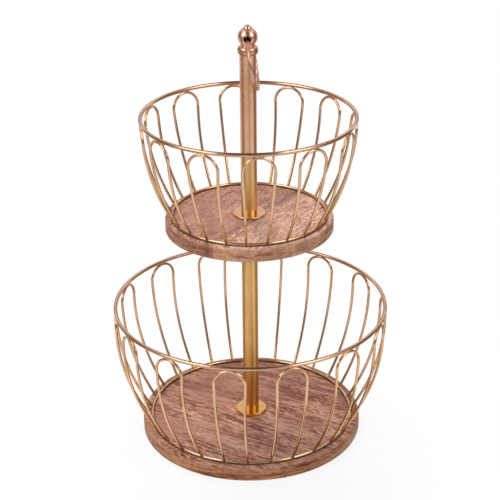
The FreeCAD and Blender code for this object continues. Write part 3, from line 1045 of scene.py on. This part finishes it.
@dataclass
class Studio:
    """Pale floor, soft lamps, flags for the metal to mirror, and the camera.

    Lengths are in metres and angles in degrees. The sensor's width is in millimetres, and the focal length
    is in pixels of the photograph. The shadow shows most strongly within its nearer reach.
    """

    aim: tuple[float, float, float] = (0.0, 0.0, 0.2)
    floor_radius: float = 6.0
    floor_sides: int = 96
    bounce_colour: str = "#B9B4AF"
    white: str = "#FFFFFF"
    sky_level: float = 0.4
    shadow_share: float = 0.15
    shadow_reach: tuple[float, float] = (0.14, 0.36)
    flag_steps: int = 36
    merge_reach: float = 0.00001
    eye: tuple[float, float, float] = (0.00032, -1.4017, 0.8691)
    pitch: float = 24.907
    roll: float = -0.55
    focal_pixels: float = 1408.8
    sensor: float = 36.0
    lamps: tuple[Softbox, ...] = (
        Softbox("left_softbox", (-1.5, -1.17, 1.35), 1.5, 0.34),
        Softbox("right_softbox", (1.39, -1.3, 1.35), 1.5, 0.17),
        Softbox("top_softbox", (-0.3, 1.1, 1.9), 0.9, 0.66),
    )
    flags: tuple[Flag, ...] = (
        Flag("overhead_flag", (0.0, FULL_TURN), (0.0, 0.45), (1.9, 1.9), "#8E7A68"),
        Flag("back_top_flag", (135.0, 225.0), (0.45, 1.65), (1.9, 1.9), "#564234"),
        Flag("front_top_flag", (-42.0, 42.0), (0.4, 1.9), (1.6, 1.6), "#4E3426"),
        Flag("front_bar_flag", (-24.0, 24.0), (1.9, 2.3), (1.6, 1.6), "#4E3426"),
        Flag("left_softbox_face", (-78.0, -34.0), (1.9, 1.9), (0.95, 2.9), "#FFF8F0", glow=4.0),
        Flag("right_softbox_face", (32.0, 70.0), (1.9, 1.9), (0.95, 2.9), "#FFF8F0", glow=3.6),
        Flag("front_flag", (-84.0, 80.0), (2.2, 2.2), (0.0, 1.15), "#8C8C94"),
        Flag("left_flag", (-132.0, -84.0), (1.7, 1.7), (0.0, 1.7), "#8F7B6B"),
        Flag("right_flag", (80.0, 128.0), (1.7, 1.7), (0.0, 1.7), "#87705F"),
        Flag("back_flag", (140.0, 220.0), (2.2, 2.2), (0.0, 1.1), "#C2B6C0"),
        Flag("back_floor_flag", (150.0, 210.0), (0.13, 2.2), ON_FLOOR, "#C2B6C0"),
        Flag("near_front_flag", (-25.0, 15.0), (0.13, 0.56), ON_FLOOR, "#F4F0EA"),
        Flag("right_of_front_flag", (15.0, 40.0), (0.125, 0.24), ON_FLOOR, "#6E5842"),
        Flag("near_left_flag", (-150.0, -85.0), (0.13, 0.56), ON_FLOOR, "#B9AEA2"),
        Flag("near_right_flag", (75.0, 140.0), (0.13, 0.56), ON_FLOOR, "#B0A498"),
        Flag("far_front_flag", (0.0, 28.0), (0.56, 1.6), ON_FLOOR, "#D9D0C6"),
        Flag("far_left_flag", (-105.0, -48.0), (0.56, 1.6), ON_FLOOR, "#988C80"),
        Flag("far_right_flag", (80.0, 140.0), (0.56, 1.6), ON_FLOOR, "#8C8074"),
    )

    def build(self) -> None:
        """Sets up the whole studio."""
        self.build_floor()
        self.light_sky()
        for lamp in self.lamps:
            self.hang(lamp)
        for flag in self.flags:
            self.lay(flag)
        self.place_camera()

    def seen_directly(self, tree: NodeTree) -> Node:
        """Mask of the rays that show the background: to the camera, in a mirror and through glass.

        Args:
            tree: Node tree of the floor or the room.

        Returns:
            The node of the mask.
        """
        rays = add_node(tree, "ShaderNodeLightPath").outputs
        direct, mirrored = rays["Is Camera Ray"], rays["Is Glossy Ray"]
        seen = add_node(tree, "ShaderNodeMath", {0: direct, 1: mirrored}, operation="MAXIMUM")
        return add_node(
            tree, "ShaderNodeMath", {0: seen, 1: rays["Is Transmission Ray"]}, operation="MAXIMUM"
        )

    def build_floor(self) -> None:
        """Lays a wide round floor that shows white, keeps the shadow and throws back little light."""
        material, tree = new_material("pale_floor_card")
        seen = self.seen_directly(tree)
        card = add_node(
            tree,
            "ShaderNodeMix",
            {"Factor": seen, "A": linear(self.bounce_colour), "B": linear(self.white)},
            data_type="RGBA",
        )
        shadowed = add_node(tree, "ShaderNodeBsdfDiffuse", {"Color": card})
        bright = add_node(tree, "ShaderNodeEmission", {"Color": linear(self.white), "Strength": 1.0})
        coords = add_node(tree, "ShaderNodeTexCoord").outputs["Object"]
        reach = add_node(tree, "ShaderNodeVectorMath", {0: coords}, operation="LENGTH").outputs["Value"]
        near, far = self.shadow_reach
        white_share = add_node(
            tree,
            "ShaderNodeMapRange",
            {
                "Value": reach,
                "From Min": near,
                "From Max": far,
                "To Min": 1.0 - self.shadow_share,
                "To Max": 1.0,
            },
            interpolation_type="SMOOTHSTEP",
        )
        share = add_node(tree, "ShaderNodeMath", {0: seen, 1: white_share}, operation="MULTIPLY")
        mixed = add_node(tree, "ShaderNodeMixShader", {0: share, 1: shadowed, 2: bright})
        add_node(tree, "ShaderNodeOutputMaterial", {"Surface": mixed})
        shape = bmesh.new()
        bmesh.ops.create_circle(shape, cap_ends=True, segments=self.floor_sides, radius=self.floor_radius)
        new_object("studio_floor", shape, material)

    def light_sky(self) -> None:
        """Fills the room with even light and shows white where the room itself is seen."""
        world = bpy.data.worlds.new("studio_room")
        world.use_nodes = True
        tree = world.node_tree
        tree.nodes.clear()
        white = linear(self.white)
        glow = add_node(tree, "ShaderNodeBackground", {"Color": white, "Strength": self.sky_level})
        shown = add_node(tree, "ShaderNodeBackground", {"Color": white, "Strength": 1.0})
        mixed = add_node(tree, "ShaderNodeMixShader", {0: self.seen_directly(tree), 1: glow, 2: shown})
        add_node(tree, "ShaderNodeOutputWorld", {"Surface": mixed})
        bpy.context.scene.world = world

    def hang(self, lamp: Softbox) -> None:
        """Hangs one softbox, with the power that lights a facing card at the stand to its level.

        Args:
            lamp: Where it hangs, how wide it is and how bright it makes a white card.
        """
        place = Vector(lamp.place)
        throw = Vector(self.aim) - place
        light = bpy.data.lights.new(lamp.name, "AREA")
        light.size = lamp.width
        light.energy = lamp.level * math.pi**2 * throw.length_squared
        made = bpy.data.objects.new(lamp.name, light)
        made.location = place
        made.rotation_euler = throw.to_track_quat("-Z", "Y").to_euler()
        made.visible_glossy = False
        bpy.context.scene.collection.objects.link(made)

    def lay(self, flag: Flag) -> None:
        """Lays one flag, hidden from all but mirrored rays.

        Args:
            flag: Sector that it covers, its height and its shade.
        """
        material, tree = new_material(flag.name)
        shade = add_node(tree, "ShaderNodeEmission", {"Color": linear(flag.shade), "Strength": flag.glow})
        add_node(tree, "ShaderNodeOutputMaterial", {"Surface": shade})
        shape = bmesh.new()
        start, end = flag.azimuths
        turn = Matrix.Rotation(math.radians(start + CAMERA_SIDE), 3, "Z")
        ends = [
            shape.verts.new(turn @ Vector((reach, 0.0, height)))
            for reach, height in zip(flag.reach, flag.height)
        ]
        edge = shape.edges.new(ends)
        bmesh.ops.spin(
            shape,
            geom=[*ends, edge],
            cent=(0, 0, 0),
            axis=(0, 0, 1),
            angle=math.radians(end - start),
            steps=self.flag_steps,
            use_merge=end - start >= FULL_TURN,
        )
        bmesh.ops.remove_doubles(shape, verts=shape.verts, dist=self.merge_reach)
        made = new_object(flag.name, shape, material)
        made.visible_camera = False
        made.visible_diffuse = False
        made.visible_transmission = False
        made.visible_shadow = False

    def place_camera(self) -> None:
        """Puts the camera where the photograph was taken from."""
        data = bpy.data.cameras.new("photo_camera")
        data.sensor_fit = "HORIZONTAL"
        data.sensor_width = self.sensor
        data.lens = self.sensor * self.focal_pixels / PHOTO_PIXELS
        camera = bpy.data.objects.new("photo_camera", data)
        tilt = Matrix.Rotation(math.radians(RIGHT_ANGLE - self.pitch), 4, "X")
        roll = Matrix.Rotation(math.radians(self.roll), 4, "Z")
        camera.matrix_world = Matrix.Translation(self.eye) @ tilt @ roll
        bpy.context.scene.collection.objects.link(camera)
        bpy.context.scene.camera = camera
        bpy.context.scene.view_settings.view_transform = "Standard"


def boards() -> tuple[Board, Board]:
    """Both wooden floors.

    Returns:
        The lower board, of darker wood in four staves, and the paler upper one in two.
    """
    lower_wood = MangoWood(
        "mango_wood_lower_board",
        grain_angle=-30.0,
        ring_radius=ring_radius(Tier.LOWER),
        joints=(-62.0, 8.0, 82.0),
        stave_tints=("#FFFFFF", "#FFFFFF", "#F1EEEA", "#ECE6E2"),
        heart_streaks=((78.0, 9.0, 0.75), (-86.0, 4.0, 0.3)),
    )
    upper_wood = MangoWood(
        "mango_wood_upper_board",
        grain_angle=55.0,
        ring_radius=ring_radius(Tier.UPPER),
        joints=(-16.5,),
        stave_tints=("#FFFFFF", "#D9CDCB"),
        heart_streaks=((-9.0, 7.0, 0.5), (-45.0, 3.0, 0.2)),
        dark="#A06B5A",
        body="#DAAA90",
        light="#F3CBB5",
        stain="#9F7166",
        stain_strength=0.7,
        stain_size=26.0,
        edge_tint="#EDDAC4",
        layers=((110.0, 30.0, 0.9), (40.0, 3.0, 0.9), (13.0, 2.2, 1.7), (4.5, 2.2, 1.6)),
        edge_layers=((70.0, 7.0, 1.2), (30.0, 2.5, 1.4), (6.0, 2.2, 1.5)),
    )
    return Board(Tier.LOWER, lower_wood), Board(Tier.UPPER, upper_wood)


def baskets() -> tuple[WireBasket, WireBasket]:
    """Both wire baskets, whose wires are painted darker near the welds at their feet, as shade and
    reflection of the board.

    Returns:
        The lower and the upper basket.
    """
    rim = PlatedBrass("brass_plated_rim", "#DDB696", "#D1A384", Brushing.DRAWN, WIRE_ROUGHNESS)
    # The base ring is the same plated wire as the loops; its paler plating is partly the wire's own gold
    # and partly a painted highlight.
    base_ring = PlatedBrass(
        "brass_plated_base_ring_painted_highlight", "#ECCAA2", "#E0BB92", Brushing.DRAWN, WIRE_ROUGHNESS
    )
    lower_wire = PlatedBrass(
        "brass_plated_lower_wire",
        "#E8C098",
        "#DDB288",
        Brushing.DRAWN,
        WIRE_ROUGHNESS,
        # Painted shade and reflection of the board near the feet.
        foot_reflection_tone="#BE9768",
        foot_reflection_heights=(18.0, 60.0),
    )
    upper_wire = PlatedBrass(
        "brass_plated_upper_wire",
        "#E8C29C",
        "#DDB48C",
        Brushing.DRAWN,
        WIRE_ROUGHNESS,
        # Painted shade and reflection of the board near the feet.
        foot_reflection_tone="#BE9768",
        foot_reflection_heights=(264.0, 300.0),
    )
    lower = WireBasket(Tier.LOWER, 14, rim, base_ring, lower_wire)
    upper = WireBasket(Tier.UPPER, 12, rim, base_ring, upper_wire)
    return lower, upper


def central_tube() -> CentralTube:
    """The tube with its flanges; a painted reflection makes each tube more golden towards its foot.

    Returns:
        The sub-assembly.
    """
    lower_tube = PlatedBrass(
        "brass_plated_lower_tube",
        "#EABD7E",
        "#DFAF70",
        Brushing.LENGTHWISE,
        SATIN_ROUGHNESS,
        axial_spread=0.8,
        # Painted reflection of the board and shade: darker and more golden at the foot.
        foot_reflection_tone="#D09A52",
        foot_reflection_heights=(45.0, 130.0),
    )
    upper_tube = PlatedBrass(
        "brass_plated_upper_tube",
        "#E9BC9A",
        "#DDAA88",
        Brushing.LENGTHWISE,
        SATIN_ROUGHNESS,
        axial_spread=0.8,
        # Painted reflection: more golden at the foot.
        foot_reflection_tone="#E9C686",
        foot_reflection_heights=(280.0, 360.0),
    )
    lower_flange = PlatedBrass(
        "brass_turned_lower_flange", "#EEBD76", "#E4AE68", Brushing.TURNED, FLANGE_ROUGHNESS
    )
    upper_flange = PlatedBrass(
        "brass_turned_upper_flange", "#F0C08E", "#E5B07E", Brushing.TURNED, FLANGE_ROUGHNESS
    )
    return CentralTube(lower_tube, upper_tube, lower_flange, upper_flange, ZincSteel())


def carrying_handle() -> Handle:
    """The finial, whose collar is painted darker than its ball as shade and reflection, and the loose
    ring.

    Returns:
        The sub-assembly.
    """
    finial = PlatedBrass(
        "brass_turned_finial",
        "#F0C4AE",
        "#D29C88",
        Brushing.TURNED,
        SATIN_ROUGHNESS,
        cloud_size=7.0,
        # Painted shade and reflection, darkening the collar below the ball.
        foot_reflection_tone="#C99983",
        foot_reflection_heights=(447.0, 452.0),
        # Painted shade inside the cross hole.
        shaded_bore=Bore(azimuth=-3.0, height=459.2, radius=3.75),
    )
    ring = PlatedBrass("brass_plated_ring", "#DDB398", "#D0A288", Brushing.DRAWN, LOOSE_RING_ROUGHNESS)
    return Handle(finial, ring)


def main() -> None:
    """Dresses the stand from the bottom up and sets up the studio."""
    logging.basicConfig(level=logging.INFO, format="%(message)s")
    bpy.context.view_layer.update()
    for assembly in (*boards(), *baskets(), central_tube(), carrying_handle()):
        assembly.dress()
    Studio().build()


if __name__ == "__main__":
    main()
